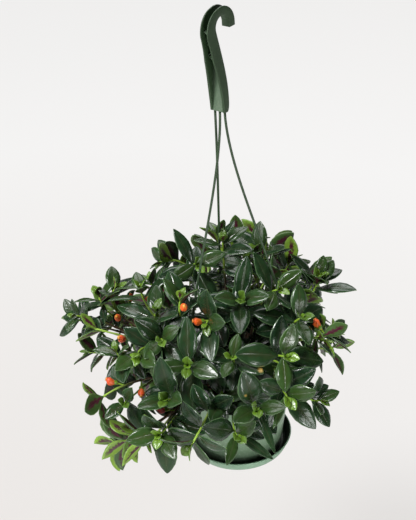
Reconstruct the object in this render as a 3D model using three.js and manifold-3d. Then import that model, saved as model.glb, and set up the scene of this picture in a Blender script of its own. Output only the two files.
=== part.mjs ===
// A goldfish plant in a hanging pot: pot, clip-on saucer, soil, three-strand hanger and leafy shoots.
// Millimetres, +Z up, origin at the seat inside the top of the hanger's crook.
import * as THREE from 'three';
import { mergeVertices } from 'three/addons/utils/BufferGeometryUtils.js';
import Module from 'manifold-3d';

const wasm = await Module();
wasm.setup();

// Driving dimensions, with heights above the underside of the saucer
const GAP = 0.3;
const SEAT_HEIGHT = 552;
const SAUCER = { rim: 66, foot: 57, heel: 60.5, height: 16, wall: 1.8, floor: 2 };
const STUD = { radius: 4, head: 5.4, tip: 2.8, top: 7.5 };
const POT = { rim: 70, base: 53, top: 116, wall: 1.8, floor: 2, lipWidth: 1.6, lipHeight: 7, hole: 4.4 };
const EAR = { reach: 8.5, width: 11, thickness: 3, drop: 1.5, holeRadius: 2.2 };
const DRAIN = { count: 4, ring: 32, radius: 4 };
const SOIL = { top: 104, side: 0.6, holeDepth: 9, holeRadius: 3.9 };
const CROOK = { radius: 12, overTurn: 178, tip: 5, steps: 9 };
const STRAP = { length: 88, topLean: 15, bottomLean: -3, web: 2, plane: 50, steps: 6 };
const CHANNEL = { topWidth: 10, bottomWidth: 19, crookDepth: 8, topDepth: 13, bottomDepth: 7, flange: 1.4 };
const WEDGE_STEPS = 4;
const RIB = { places: [4.2, 5.2], depth: 8, thickness: 1.4 };
const STRAND = { radius: 1.35, spacing: 6.4, azimuths: [100, 220, 340], knob: 2.6, inset: 3.2, tail: 4 };
const STEM = { radius: 1.8, sides: 3, steps: 6, forkSteps: 4 };
const ROOT = { reach: 50, nearest: 8, pull: 0.33, rise: 80, lead: 45, low: 40, lowLead: 0.45 };
const LEAF = { halfWidth: 0.26, thickness: 1.6, root: 0.5, fold: 0.16, droop: 0.16, clearance: 0.8 };
const TO_LIGHT = 0.45;
const BLOOM = { length: 15, width: 8, stalk: 8, stalkRadius: 0.9, belly: 1.8, depth: 1.15 };
const VIEW = { azimuth: -90, elevation: 32, reach: 70, radius: 5 };
const LATHE_STEPS = 28;

const rad = THREE.MathUtils.degToRad;

// Colours and finishes
const finish = (color, roughness) => new THREE.MeshStandardMaterial({ color, roughness, metalness: 0 });
const potPlastic = finish(0x7d9685, 0.38);
const saucerPlastic = finish(0x5f8a6c, 0.4);
const hangerPlastic = finish(0x2f5a3c, 0.35);
const potSoil = finish(0x2a1d15, 0.95);
const leafGreen = finish(0x2c4a2f, 0.3);
const flowerOrange = finish(0xf0561c, 0.45);

const group = new THREE.Group();
group.position.z = -SEAT_HEIGHT;

// Joining and cutting of closed shapes
function toSolid(geometry) {
  const bare = geometry.clone();
  for (const name of Object.keys(bare.attributes)) {
    if (name !== 'position') bare.deleteAttribute(name);
  }
  const merged = mergeVertices(bare, 1e-4);
  return new wasm.Manifold(new wasm.Mesh({
    numProp: 3,
    vertProperties: new Float32Array(merged.attributes.position.array),
    triVerts: new Uint32Array(merged.index.array),
  }));
}

function toGeometry(solid) {
  const mesh = solid.getMesh();
  const geometry = new THREE.BufferGeometry();
  geometry.setAttribute('position', new THREE.BufferAttribute(mesh.vertProperties, 3));
  geometry.setIndex(new THREE.BufferAttribute(mesh.triVerts, 1));
  geometry.computeVertexNormals();
  return geometry;
}

function addPart(name, solid, material) {
  const mesh = new THREE.Mesh(toGeometry(solid), material);
  mesh.name = name;
  group.add(mesh);
}

// A point at a compass direction, a distance from the pot's axis and a height
function polar(azimuth, reach, height) {
  return new THREE.Vector3(reach * Math.cos(rad(azimuth)), reach * Math.sin(rad(azimuth)), height);
}

function direction(azimuth, elevation) {
  return polar(azimuth, Math.cos(rad(elevation)), Math.sin(rad(elevation)));
}

// A turned piece whose profile is a list of radius and height
function turned(profile) {
  const points = profile.map(([radius, height]) => new THREE.Vector2(radius, height));
  return new THREE.LatheGeometry(points, LATHE_STEPS).rotateX(Math.PI / 2);
}

// A round bar along a curve
function tube(curve, radius, sides, steps) {
  const section = new THREE.Shape();
  for (let i = 0; i < sides; i++) {
    const angle = (2 * Math.PI * (i + 0.5)) / sides;
    const x = radius * Math.cos(angle);
    const y = radius * Math.sin(angle);
    if (i === 0) section.moveTo(x, y);
    else section.lineTo(x, y);
  }
  section.closePath();
  return new THREE.ExtrudeGeometry(section, { steps, bevelEnabled: false, extrudePath: curve });
}

function post(x, y, bottom, top, radius, sides) {
  const geometry = new THREE.CylinderGeometry(radius, radius, top - bottom, sides);
  return geometry.rotateX(Math.PI / 2).translate(x, y, (bottom + top) / 2);
}

// Saucer, a shallow dish with a snap stud in the middle
function makeSaucer() {
  const { rim, foot, heel, height, wall, floor } = SAUCER;
  const neckTop = floor + GAP + POT.floor + GAP;
  return toSolid(turned([
    [0, 0], [foot, 0], [heel, 3], [rim, height - 0.6], [rim - wall, height],
    [heel - 2.3, 3.6], [foot - 1.5, floor],
    [STUD.radius, floor], [STUD.radius, neckTop], [STUD.head, neckTop], [STUD.tip, STUD.top], [0, STUD.top],
  ]));
}

// The pot stands on the saucer's floor, and its wall widens towards the rim
const potBottom = SAUCER.floor + GAP;
const potSlope = (POT.rim - POT.lipWidth - POT.base) / (POT.top - potBottom);
const potWall = (height) => POT.base + potSlope * (height - potBottom);

// Pot, with a rim lip, three ears for the strands, a snap hole and drain holes in its floor
function makePot() {
  const { rim, base, top, wall, floor, lipWidth, lipHeight, hole } = POT;
  const lipFoot = top - lipHeight;
  let pot = toSolid(turned([
    [hole, potBottom], [base - 2, potBottom], [base, potBottom + 2], [potWall(lipFoot), lipFoot],
    [potWall(lipFoot) + lipWidth, lipFoot + 1], [rim, top - 0.8], [rim - 0.8, top],
    [rim - lipWidth - wall, top], [base - wall, potBottom + floor],
    [hole, potBottom + floor], [hole, potBottom],
  ]));
  for (const azimuth of STRAND.azimuths) {
    const ear = new THREE.BoxGeometry(EAR.reach + wall, EAR.width, EAR.thickness);
    ear.translate(rim - 0.5 + (EAR.reach - wall) / 2, 0, top - EAR.drop - EAR.thickness / 2);
    pot = pot.add(toSolid(ear.rotateZ(rad(azimuth))));
    const eye = polar(azimuth, rim + EAR.reach / 2, 0);
    pot = pot.subtract(toSolid(post(eye.x, eye.y, top - 10, top + 5, EAR.holeRadius, 6)));
  }
  for (let i = 0; i < DRAIN.count; i++) {
    const drain = polar((360 * i) / DRAIN.count, DRAIN.ring, 0);
    pot = pot.subtract(toSolid(post(drain.x, drain.y, 0, potBottom + 2 * floor, DRAIN.radius, 6)));
  }
  return pot;
}

// Soil, a plug that fills the pot, hollowed over the snap stud and bored for the stems
function makeSoil(stems) {
  const bottom = potBottom + POT.floor + GAP;
  const inner = (height) => potWall(height) - POT.wall - SOIL.side;
  const crown = STUD.top + 1;
  let soil = toSolid(turned([
    [0, crown], [STUD.head + 1, crown], [STUD.head + 1, bottom], [inner(bottom), bottom],
    [inner(SOIL.top - 1), SOIL.top - 1], [inner(SOIL.top) - 3, SOIL.top], [0, SOIL.top],
  ]));
  for (const { curve, points } of stems) {
    const along = points[1].clone().sub(points[0]).normalize();
    const slant = STEM.radius * curve.getTangentAt(0).cross(along).length();
    const floor = points[0].clone().addScaledVector(along, -GAP - slant);
    const mouth = points[0].clone().addScaledVector(along, SOIL.holeDepth + 12);
    soil = soil.subtract(toSolid(tube(new THREE.LineCurve3(floor, mouth), SOIL.holeRadius, STEM.sides, 1)));
  }
  return soil;
}

// Centre line of the hook's web in its own plane, from the strap's foot up and over the crook,
// each point with the side that faces out of the crook
function hookLine() {
  const line = [];
  const centre = new THREE.Vector2(0, STRAP.web / 2 - CROOK.radius);
  const outward = (angle) => new THREE.Vector2(Math.cos(rad(angle)), Math.sin(rad(angle)));
  let point = centre.clone().addScaledVector(outward(180 + STRAP.topLean), CROOK.radius);
  for (let i = 0; i <= STRAP.steps; i++) {
    const out = outward(180 + THREE.MathUtils.lerp(STRAP.topLean, STRAP.bottomLean, i / STRAP.steps));
    line.unshift({ at: point, out });
    point = point.clone().addScaledVector(new THREE.Vector2(-out.y, out.x), STRAP.length / STRAP.steps);
  }
  for (let i = 1; i <= CROOK.steps; i++) {
    const out = outward(180 + STRAP.topLean - ((CROOK.overTurn + STRAP.topLean) * i) / CROOK.steps);
    line.push({ at: centre.clone().addScaledVector(out, CROOK.radius), out });
  }
  const { at, out } = line.at(-1);
  line.push({ at: at.clone().addScaledVector(new THREE.Vector2(out.y, -out.x), CROOK.tip), out });
  return line;
}

// A plate in the hook's plane between two offsets from its line, from one level to another
function plate(line, inner, outer, from, to) {
  const shape = new THREE.Shape([
    ...line.map((p, i) => p.at.clone().addScaledVector(p.out, inner(i))),
    ...line.map((p, i) => p.at.clone().addScaledVector(p.out, outer(i))).reverse(),
  ]);
  return new THREE.ExtrudeGeometry(shape, { depth: to - from, bevelEnabled: false }).translate(0, 0, from);
}

// Hook, a channel that opens outwards, wide and shallow at its foot, narrow round the crook,
// with a wedge that rises to its foot, a block across its tip and two ribs high in the strap
function makeHook() {
  const line = hookLine();
  const { lerp } = THREE.MathUtils;
  const depth = (i) => {
    if (i <= STRAP.steps) return lerp(CHANNEL.bottomDepth, CHANNEL.topDepth, Math.min(1, i / 4));
    return lerp(CHANNEL.topDepth, CHANNEL.crookDepth, Math.min(1, (i - STRAP.steps) / 4));
  };
  const half = CHANNEL.topWidth / 2;
  const inner = half - GAP;
  const web = (side) => () => (side * STRAP.web) / 2;
  let hook = toSolid(plate(line, web(-1), web(1), -half, half));
  for (const from of [-half, half - CHANNEL.flange]) {
    hook = hook.add(toSolid(plate(line, web(-1), depth, from, from + CHANNEL.flange)));
  }
  const onLine = (place) => {
    const low = line[Math.floor(place)];
    const high = line[Math.ceil(place)];
    return { at: low.at.clone().lerp(high.at, place % 1), out: low.out };
  };
  const addBlock = (from, to, height) => {
    hook = hook.add(toSolid(plate([from, to], web(-1), () => height, -inner, inner)));
  };
  const rising = (i) => lerp(CHANNEL.bottomDepth - 0.6, STRAP.web / 2, i / WEDGE_STEPS);
  hook = hook.add(toSolid(plate(line.slice(0, WEDGE_STEPS + 1), web(-1), rising, -inner, inner)));
  addBlock(onLine(line.length - 1.4), line.at(-1), CHANNEL.crookDepth - 0.5);
  for (const place of RIB.places) {
    const low = onLine(place);
    const high = { at: low.at.clone().add(new THREE.Vector2(-GAP, RIB.thickness)), out: low.out };
    addBlock(low, high, RIB.depth);
  }
  const geometry = toGeometry(hook);
  const position = geometry.attributes.position;
  for (let i = 0; i < position.count; i++) {
    const down = THREE.MathUtils.smoothstep(-position.getY(i), 15, STRAP.length);
    position.setZ(i, position.getZ(i) * lerp(1, CHANNEL.bottomWidth / CHANNEL.topWidth, down));
  }
  geometry.rotateX(Math.PI / 2).rotateZ(rad(STRAP.plane)).translate(0, 0, SEAT_HEIGHT);
  return { solid: toSolid(geometry), foot: line[0].at };
}

// The three strands leave the hook's foot side by side and hang down outside the rim to its ears
function strandCurve(azimuth, index, foot) {
  const start = polar(STRAP.plane - 90, STRAND.spacing * (index - 1), SEAT_HEIGHT + foot.y - GAP);
  start.add(polar(STRAP.plane, foot.x - STRAND.inset, 0));
  const earFloor = POT.top - EAR.drop - EAR.thickness;
  const end = polar(azimuth, POT.rim + EAR.reach / 2, earFloor - STRAND.tail);
  const points = [];
  const steps = 8;
  for (let i = 0; i <= steps; i++) {
    const drop = i / steps;
    const at = start.clone().lerp(end, THREE.MathUtils.smoothstep(drop ** 0.9, 0, 0.985));
    at.z = THREE.MathUtils.lerp(start.z, end.z, drop);
    points.push(at);
  }
  return new THREE.CatmullRomCurve3(points);
}

// A strand with the knob below the ear that holds it
function makeStrand(curve) {
  const end = curve.getPoint(1);
  const knob = new THREE.SphereGeometry(STRAND.knob, 6, 4).rotateX(Math.PI / 2);
  knob.translate(end.x, end.y, end.z);
  return toSolid(tube(curve, STRAND.radius, 5, 13)).add(toSolid(knob));
}

// Shoots: where each tip is (azimuth, reach, height above the rim), which way it faces
// (azimuth, elevation), how its leaf cross is turned, its longest leaf, its pairs of leaves, and
// how far they spread, where that isn't the usual 1. A fork grows off the shoot above it.
const SHOOTS = [
  ['left_1', 170, 198, 61, -145, 41, 154, 38, 3],
  ['left_1_fork', 179, 185, 84, -157, 26, 116, 30, 3, 0.9],
  ['left_2', 158, 153, 84, -160, 126, 4, 51, 3, 0.95],
  ['left_2_fork', 162, 170, 77, 127, 66, 177, 49, 3, 1.05],
  ['left_3', 169, 109, 104, 111, 78, 60, 44, 3, 0.85],
  ['left_4', 131, 111, 109, 172, 17, 153, 43, 3, 0.65],
  ['left_4_fork', 143, 101, 116, 180, -21, 151, 44, 3, 0.9],
  ['left_5', -174, 165, 79, 156, 4, 93, 35, 3, 0.6],
  ['left_5_fork', -152, 151, 81, 163, 61, 67, 41, 3, 0.8],
  ['left_6', -149, 184, 32, 146, -55, 115, 45, 3, 1.05],
  ['left_6_fork', -141, 164, 35, -89, 38, 42, 41, 3, 1.05],
  ['low_1', -133, 164, -9, 143, -29, 1, 51, 3, 1.1],
  ['low_1_fork', -157, 162, -53, 102, -27, 5, 51, 3, 0.6],
  ['low_2', -109, 168, 17, -142, -41, 110, 53, 3, 1.1],
  ['front_1', -145, 133, 83, -104, 11, 6, 54, 4, 0.7],
  ['front_1_fork', -139, 109, 95, -91, 25, 41, 45, 3, 0.85],
  ['front_2', -123, 163, 15, -114, 14, 12, 54, 4],
  ['front_3', -122, 147, 53, -122, 38, 12, 54, 4, 0.8],
  ['front_4', -118, 115, 80, -95, 29, 171, 54, 3, 1.1],
  ['front_5', -93, 101, 86, -105, 52, 77, 39, 3, 0.95],
  ['front_5_fork', -100, 105, 31, -53, 50, 27, 54, 3, 0.95],
  ['front_6', -83, 142, 47, -90, 35, 15, 54, 3, 0.7],
  ['front_7', -92, 143, 13, -75, 24, 52, 52, 3, 0.8],
  ['front_8', -63, 114, 85, -60, 27, 64, 54, 3, 1.1],
  ['front_8_fork', -58, 89, 52, -113, -1, 177, 54, 3, 1.05],
  ['front_9', -68, 138, 50, -77, -1, 46, 54, 3, 0.75],
  ['right_1', -53, 147, 33, -37, 17, 5, 37, 3, 0.8],
  ['right_2', -28, 116, 70, 17, -35, 14, 36, 3, 1.1],
  ['right_2_fork', -29, 124, 80, 17, -10, 29, 43, 3, 0.65],
  ['right_3', -37, 92, 102, -57, 46, 67, 54, 3, 1.05],
  ['right_3_fork', -12, 90, 63, -16, 14, 127, 54, 3, 0.65],
  ['right_4', 27, 119, 80, 0, 75, 141, 52, 4, 0.8],
  ['right_4_fork', 29, 124, 83, -47, 55, 39, 40, 3, 0.75],
  ['top_1', 65, 85, 114, 33, 125, 120, 54, 3, 0.75],
  ['top_1_fork', 97, 99, 129, 86, 62, 109, 37, 3, 0.6],
  ['top_2', 102, 36, 154, 130, 90, 16, 49, 3, 1.1],
  ['top_2_fork', 51, 65, 109, 98, 53, 113, 30, 3, 1.1],
  ['top_3', 161, 42, 139, -67, 28, 15, 51, 3, 1.05],
  ['top_4', -78, 39, 120, -85, 42, 169, 54, 3, 0.75],
  ['top_5', -29, 58, 124, -53, 34, 19, 51, 3, 1.1],
  ['top_5_fork', 21, 58, 115, 10, 11, 36, 40, 3],
  ['top_6', 47, 109, 93, 46, 34, 84, 54, 3, 0.75],
  ['top_6_fork', 72, 72, 107, 54, 108, 29, 51, 3, 0.75],
  ['top_7', -165, 93, 100, 128, 97, 102, 54, 3, 1.1],
  ['top_8', -143, 74, 128, -151, 103, 25, 46, 3, 0.6],
  ['top_9', -116, 72, 109, -112, 8, 27, 53, 3, 0.8],
  ['back_1', 70, 160, 74, 80, -22, 142, 54, 3],
  ['back_2', 85, 148, 94, 83, 30, 89, 49, 3, 0.8],
  ['back_2_fork', 97, 96, 72, 109, 38, 32, 33, 3, 0.95],
  ['back_3', 100, 150, 79, 77, 58, 151, 47, 3, 0.75],
  ['back_4', 133, 148, 59, 145, 66, 83, 40, 3, 0.7],
  ['back_4_fork', 119, 106, 81, 121, 57, 76, 36, 3],
  ['back_5', 77, 166, 23, 58, 44, 49, 35, 3, 0.6],
  ['back_6', 99, 160, 35, 110, -11, 150, 47, 3, 0.85],
  ['back_7', 121, 173, 0, 78, -13, 107, 53, 3, 0.8],
  ['back_8', 148, 175, 26, 117, -46, 159, 45, 3, 0.9],
  ['back_9', 46, 137, 52, 89, -18, 40, 51, 3, 0.6],
  ['back_9_fork', 63, 98, 47, 42, 34, 24, 39, 3, 0.9],
  ['back_10', 4, 121, 14, 73, -20, 144, 38, 3, 0.85],
  ['back_11', 83, 136, -41, 87, -16, 81, 39, 3],
  ['back_12', 142, 139, -63, 146, -108, 11, 54, 3, 0.6],
  ['back_13', 171, 181, 12, 163, -3, 177, 37, 3, 0.75],
];

// Stems: up out of the soil, over the rim and into the way that the tip faces
function makeStems() {
  const stems = [];
  for (const row of SHOOTS) {
    const [name, azimuth, reach, rise, faceAzimuth, faceElevation, spin, length, pairs, spread = 1] = row;
    const tip = polar(azimuth, reach, POT.top + rise);
    const facing = direction(faceAzimuth, faceElevation);
    const fork = name.endsWith('_fork');
    const parent = stems.at(-1);
    let start;
    let lead;
    if (fork) {
      start = parent.points[3].clone();
      lead = start.clone().addScaledVector(parent.curve.getTangentAt(0.5), tip.distanceTo(start) * 0.3);
    } else {
      const rootReach = THREE.MathUtils.clamp(ROOT.reach - rise * ROOT.pull, ROOT.nearest, ROOT.reach);
      start = polar(azimuth, rootReach, SOIL.top - SOIL.holeDepth + GAP);
      const leadLength = ROOT.lead + Math.max(0, ROOT.low - rise) * ROOT.lowLead;
      lead = start.clone().addScaledVector(direction(azimuth, ROOT.rise), leadLength);
    }
    const last = tip.clone().addScaledVector(facing, -tip.distanceTo(start) * (fork ? 0.4 : 0.35));
    const curve = new THREE.CubicBezierCurve3(start, lead, last, tip);
    const points = curve.getSpacedPoints(fork ? STEM.forkSteps : STEM.steps);
    const shoot = fork ? parent.shoot : name;
    stems.push({ name, fork, curve, points, spin, length, shoot, pairs, spread });
  }
  return stems;
}

// A point on a stem's straight lengths, and the stem's direction there, a distance back from its tip
function placeOn(stem, back) {
  const steps = stem.points.length - 1;
  const length = stem.curve.getLength();
  const run = ((length - back) / length) * steps;
  const segment = Math.min(steps - 1, Math.floor(run));
  const origin = stem.points[segment].clone().lerp(stem.points[segment + 1], run - segment);
  return { origin, axis: stem.curve.getTangentAt(run / steps) };
}

// A leaf blade along +X with its upper face towards +Z: pointed, keeled along its midrib and arched,
// and thickened all round by the room that is asked for
function blade(length, stations, room = 0) {
  const section = (edge) => {
    const lift = LEAF.fold * edge;
    const keel = [0, -LEAF.thickness / 2 - room];
    if (room === 0) return [[edge, lift], [-edge, lift], keel];
    return [[edge, lift + room], [-edge, lift + room], [-edge, lift - room], keel, [edge, lift - room]];
  };
  const positions = [];
  const add = (x, y, lift) => positions.push(x, y, lift - (LEAF.droop * x ** 2) / length);
  add(-LEAF.root, 0, 0);
  for (const [t, width] of stations) {
    const ring = section(width * length * LEAF.halfWidth + room);
    for (const [y, lift] of ring) add(t * (length + room), y, lift);
  }
  add(length + room, 0, 0);
  const sides = section(0).length;
  const tip = 1 + sides * stations.length;
  const indices = [];
  for (let side = 0; side < sides; side++) {
    const next = (side + 1) % sides;
    indices.push(0, 1 + next, 1 + side);
    for (let a = 1; a < tip - sides; a += sides) {
      indices.push(a + side, a + sides + next, a + sides + side, a + side, a + next, a + sides + next);
    }
    indices.push(tip, tip - sides + side, tip - sides + next);
  }
  const geometry = new THREE.BufferGeometry();
  geometry.setAttribute('position', new THREE.Float32BufferAttribute(positions, 3));
  geometry.setIndex(indices);
  return geometry;
}

// Stations along a blade and its width there, on a full leaf and on a young one
const FULL_BLADE = [[0.27, 0.86], [0.66, 0.92]];
const YOUNG_BLADE = [[0.45, 1]];

// Where the pairs of leaves stand on a shoot: distance back from the tip, lean away from the stem,
// length against the shoot's longest leaf, and quarter turns
const PAIRS = [
  { back: 0, lean: 24, size: 0.34, quarter: 1, stations: YOUNG_BLADE },
  { back: 5, lean: 52, size: 0.74, quarter: 0, stations: FULL_BLADE },
  { back: 12, lean: 68, size: 1, quarter: 1, stations: FULL_BLADE },
  { back: 30, lean: 72, size: 0.92, quarter: 0, stations: FULL_BLADE },
];

// Ways round a neighbour, tried in this order: swing about the stem, change of lean, roll, shortening
const DODGES = [
  [0, 0, 0, 1], [12, 0, 0, 1], [-12, 0, 0, 1], [0, -14, 0, 1], [0, 14, 0, 1], [0, 0, 25, 1], [0, 0, -25, 1],
  [24, -8, 15, 0.95], [-24, -8, -15, 0.95], [18, 20, 0, 0.9], [-18, 20, 0, 0.9], [0, -26, 0, 0.9],
  [12, -14, 30, 0.8], [-12, -14, -30, 0.8], [30, 0, 0, 0.75], [-30, 0, 0, 0.75], [0, -30, 0, 0.7],
  [0, 24, 0, 0.7], [20, -30, 20, 0.62], [-20, -30, -20, 0.62],
];

// Blooms: the shoot that carries each, the distance back from its tip, and which way it points
const BLOOMS = [
  ['top_9', 18, -165, 15],
  ['right_2_fork', 7, 135, 45],
  ['left_6', 39, 180, 30],
  ['left_5', 48, -135, 30],
  ['low_1', 57, 180, 15],
  ['left_6', 60, -90, -15],
  ['left_2', 39, -105, 30],
  ['back_8', 30, 60, 60],
  ['back_4', 21, -150, 15],
  ['top_8', 7, -75, 30],
];

// A bloom, a bellied pouch with a pinched mouth on a short stalk, seated clear of its stem
function makeBloom([carrier, back, azimuth, elevation], stems) {
  const { length, width, stalk, stalkRadius, belly, depth } = BLOOM;
  const profile = [[0, 0], [0.4, 0.12], [0.9, 0.45], [1, 0.68], [0.45, 0.92], [0.42, 1], [0, 1]];
  const points = profile.map(([radius, along]) => new THREE.Vector2((radius * width) / 2, along * length));
  const pouch = new THREE.LatheGeometry(points, 5);
  const position = pouch.attributes.position;
  for (let i = 0; i < position.count; i++) {
    const sag = belly * Math.sin(Math.PI * (position.getY(i) / length)) ** 2;
    position.setZ(i, position.getZ(i) * depth + sag);
  }
  pouch.translate(0, stalk, 0);
  const bar = new THREE.CylinderGeometry(stalkRadius, stalkRadius, stalk + 1, 3);
  bar.translate(0, (stalk + 1) / 2, 0);
  const stem = stems.find((candidate) => candidate.name === carrier);
  const along = direction(azimuth, elevation);
  const down = new THREE.Vector3(0, 0, -1).addScaledVector(along, along.z).normalize();
  const matrix = new THREE.Matrix4().makeBasis(new THREE.Vector3().crossVectors(along, down), along, down);
  matrix.setPosition(placeOn(stem, back).origin);
  const sleeve = tube(stem.curve, STEM.radius + 2 * GAP, STEM.sides, stem.points.length - 1);
  const solid = toSolid(pouch.applyMatrix4(matrix)).add(toSolid(bar.applyMatrix4(matrix)));
  return solid.subtract(toSolid(sleeve));
}

// A bloom with the space before it that leaves keep open, out from its belly to the front
function withView(bloom) {
  const { min, max } = bloom.boundingBox();
  const middle = new THREE.Vector3(...min).lerp(new THREE.Vector3(...max), 0.5);
  const far = middle.clone().addScaledVector(direction(VIEW.azimuth, VIEW.elevation), VIEW.reach);
  return bloom.add(toSolid(tube(new THREE.LineCurve3(middle, far), VIEW.radius, 4, 1)));
}

// Even random numbers from 0 to 1, the same on every run
const LARGEST = 2147483647;
let seed = 20727;
function draw() {
  seed = (seed * 16807) % LARGEST;
  return seed / LARGEST;
}

// The place of a leaf on its stem, as a matrix for a blade that lies along +X
function leafMatrix(stem, pair, side, jitter, dodge) {
  const [swing, lean, roll] = dodge;
  const { origin, axis } = placeOn(stem, pair.back);
  const level = new THREE.Vector3(-axis.y, axis.x, 0);
  if (level.length() < 0.05) level.set(1, 0, 0);
  level.normalize();
  const turn = rad(stem.spin + 90 * pair.quarter + 180 * side + swing + 14 * jitter[0]);
  const outward = level.applyAxisAngle(axis, turn);
  const open = rad((pair.lean + lean) * stem.spread + 10 * jitter[1]);
  const along = axis.clone().multiplyScalar(Math.cos(open)).addScaledVector(outward, Math.sin(open));
  const up = axis.clone().add(new THREE.Vector3(0, 0, TO_LIGHT));
  up.addScaledVector(along, -up.dot(along));
  up.normalize().applyAxisAngle(along, rad(roll + 16 * jitter[2]));
  const across = new THREE.Vector3().crossVectors(up, along);
  return new THREE.Matrix4().makeBasis(along, across, up).setPosition(origin);
}

// A solid with its box, the shoot that it belongs to and, on a leaf, its pair's rank
function bodyOf(solid, shoot, rank) {
  const { min, max } = solid.boundingBox();
  return { solid, box: new THREE.Box3(new THREE.Vector3(...min), new THREE.Vector3(...max)), shoot, rank };
}

// Leaves, from the youngest pairs inwards, each in the first place that is clear of its neighbours.
// A leaf may meet its own shoot's stems and the leaves of the pairs next to its own.
function growLeaves(stems, others) {
  const leaves = [];
  PAIRS.forEach((pair, rank) => {
    for (const stem of stems) {
      const isKin = (other) => other.shoot === stem.shoot && !(Math.abs(other.rank - rank) > 1);
      for (const side of [0, 1]) {
        const jitter = [draw() - 0.5, draw() - 0.5, draw() - 0.5];
        if (rank >= stem.pairs) continue;
        for (const dodge of DODGES) {
          const matrix = leafMatrix(stem, pair, side, jitter, dodge);
          const length = stem.length * pair.size * dodge[3];
          const roomy = bodyOf(toSolid(blade(length, pair.stations, LEAF.clearance).applyMatrix4(matrix)));
          const blocked = [...others, ...leaves].some((other) => !isKin(other)
            && other.box.intersectsBox(roomy.box) && !other.solid.intersect(roomy.solid).isEmpty());
          if (blocked) continue;
          const solid = toSolid(blade(length, pair.stations).applyMatrix4(matrix));
          leaves.push(bodyOf(solid, stem.shoot, rank));
          break;
        }
      }
    }
  });
  return leaves;
}

const hook = makeHook();
const pot = makePot();
const stems = makeStems();
const shoots = stems.filter((stem) => !stem.fork);
const soil = makeSoil(shoots);
const strands = STRAND.azimuths.map((azimuth, i) => makeStrand(strandCurve(azimuth, i, hook.foot)));
addPart('saucer', makeSaucer(), saucerPlastic);
addPart('pot', pot, potPlastic);
addPart('soil', soil, potSoil);
addPart('hanger_hook', hook.solid, hangerPlastic);
strands.forEach((strand, i) => addPart(`hanger_strand_${i + 1}`, strand, hangerPlastic));

const blooms = BLOOMS.map((row) => makeBloom(row, stems));
const bars = stems.map(({ curve, points, shoot }) => (
  bodyOf(toSolid(tube(curve, STEM.radius, STEM.sides, points.length - 1)), shoot)
));
const holder = [pot, soil, ...strands, ...blooms.map(withView)].map((solid) => bodyOf(solid));
const leaves = growLeaves(stems, [...holder, ...bars]);
for (const { name } of shoots) {
  const pieces = [...bars, ...leaves].filter((piece) => piece.shoot === name);
  const solid = pieces.reduce((whole, piece) => whole.add(piece.solid), pieces.shift().solid);
  addPart(`shoot_${name}`, solid, leafGreen);
}
blooms.forEach((bloom, i) => addPart(`bloom_${i + 1}`, bloom, flowerOrange));

export default group;
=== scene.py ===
from bisect import bisect_right
from math import copysign, cos, exp, floor, pi, radians, sin, sqrt, tau
import bmesh
import bpy
from mathutils import Matrix, Quaternion, Vector
from mathutils.bvhtree import BVHTree
from mathutils.kdtree import KDTree


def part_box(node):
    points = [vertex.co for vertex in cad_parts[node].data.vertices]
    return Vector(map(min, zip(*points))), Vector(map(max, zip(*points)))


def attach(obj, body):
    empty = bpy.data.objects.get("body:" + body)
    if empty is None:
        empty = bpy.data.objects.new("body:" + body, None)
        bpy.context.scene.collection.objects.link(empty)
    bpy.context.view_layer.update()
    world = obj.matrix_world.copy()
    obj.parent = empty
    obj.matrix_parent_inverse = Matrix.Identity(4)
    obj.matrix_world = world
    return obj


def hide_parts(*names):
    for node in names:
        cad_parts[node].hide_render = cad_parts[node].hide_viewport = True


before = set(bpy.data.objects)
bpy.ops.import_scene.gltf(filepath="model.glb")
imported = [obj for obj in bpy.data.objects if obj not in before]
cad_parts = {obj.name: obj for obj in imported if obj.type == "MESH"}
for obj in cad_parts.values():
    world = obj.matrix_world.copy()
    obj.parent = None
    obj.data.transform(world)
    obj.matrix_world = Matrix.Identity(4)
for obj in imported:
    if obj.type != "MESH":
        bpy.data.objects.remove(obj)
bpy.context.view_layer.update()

# Saucer: a shallow dish of green moulded plastic under the pot. Its side flares to a rounded
# lip, and a stud in the middle of its floor snaps through the hole in the pot's floor.
MM = 0.001
SEAT_HEIGHT = 552
TURN_STEPS = 96
SAUCER_PROFILE = [
    (0, 0.6), (52, 0.6), (53.5, 0), (57, 0), (60.5, 3), (66, 15.2), (65.2, 16.2), (63.9, 15.8),
    (58.2, 3.6), (55.5, 2), (4, 2), (4, 4.6), (5.4, 4.6), (2.8, 7.5), (0, 7.5),
]
SAUCER_FLOOR = 1.8
SAUCER_INSIDE = 64.2


def at(x, y, height):
    """Millimetres above the saucer's underside, in the frame of the hook's seat."""
    return Vector((x * MM, y * MM, (height - SEAT_HEIGHT) * MM))


def polar(azimuth, reach, height):
    angle = radians(azimuth)
    return Vector((reach * cos(angle), reach * sin(angle), height))


def face_outwards(bm):
    bmesh.ops.recalc_face_normals(bm, faces=bm.faces)


def turn_profile(bm, profile, steps):
    rim = [bm.verts.new(at(radius, 0, height)) for radius, height in profile]
    line = [bm.edges.new(pair) for pair in zip(rim, rim[1:])]
    bmesh.ops.spin(bm, geom=rim + line, axis=(0, 0, 1), cent=(0, 0, 0),
                   steps=steps, angle=tau, use_merge=True)
    bmesh.ops.remove_doubles(bm, verts=bm.verts, dist=0.01 * MM)
    face_outwards(bm)


def round_edges(bm, width, sharper_than):
    edges = [edge for edge in bm.edges
             if len(edge.link_faces) == 2 and edge.calc_face_angle() > radians(sharper_than)]
    bmesh.ops.bevel(bm, geom=edges, offset=width * MM, offset_type="OFFSET", segments=2,
                    profile=0.5, affect="EDGES", material=-1, clamp_overlap=True)


def place_object(name, data):
    placed = bpy.data.objects.new(name, data)
    bpy.context.scene.collection.objects.link(placed)
    return placed


def place_mesh(bm, name, materials):
    mesh = bpy.data.meshes.new(name)
    bm.to_mesh(mesh)
    bm.free()
    for finish in materials:
        mesh.materials.append(finish)
    return place_object(name, mesh)


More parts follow.
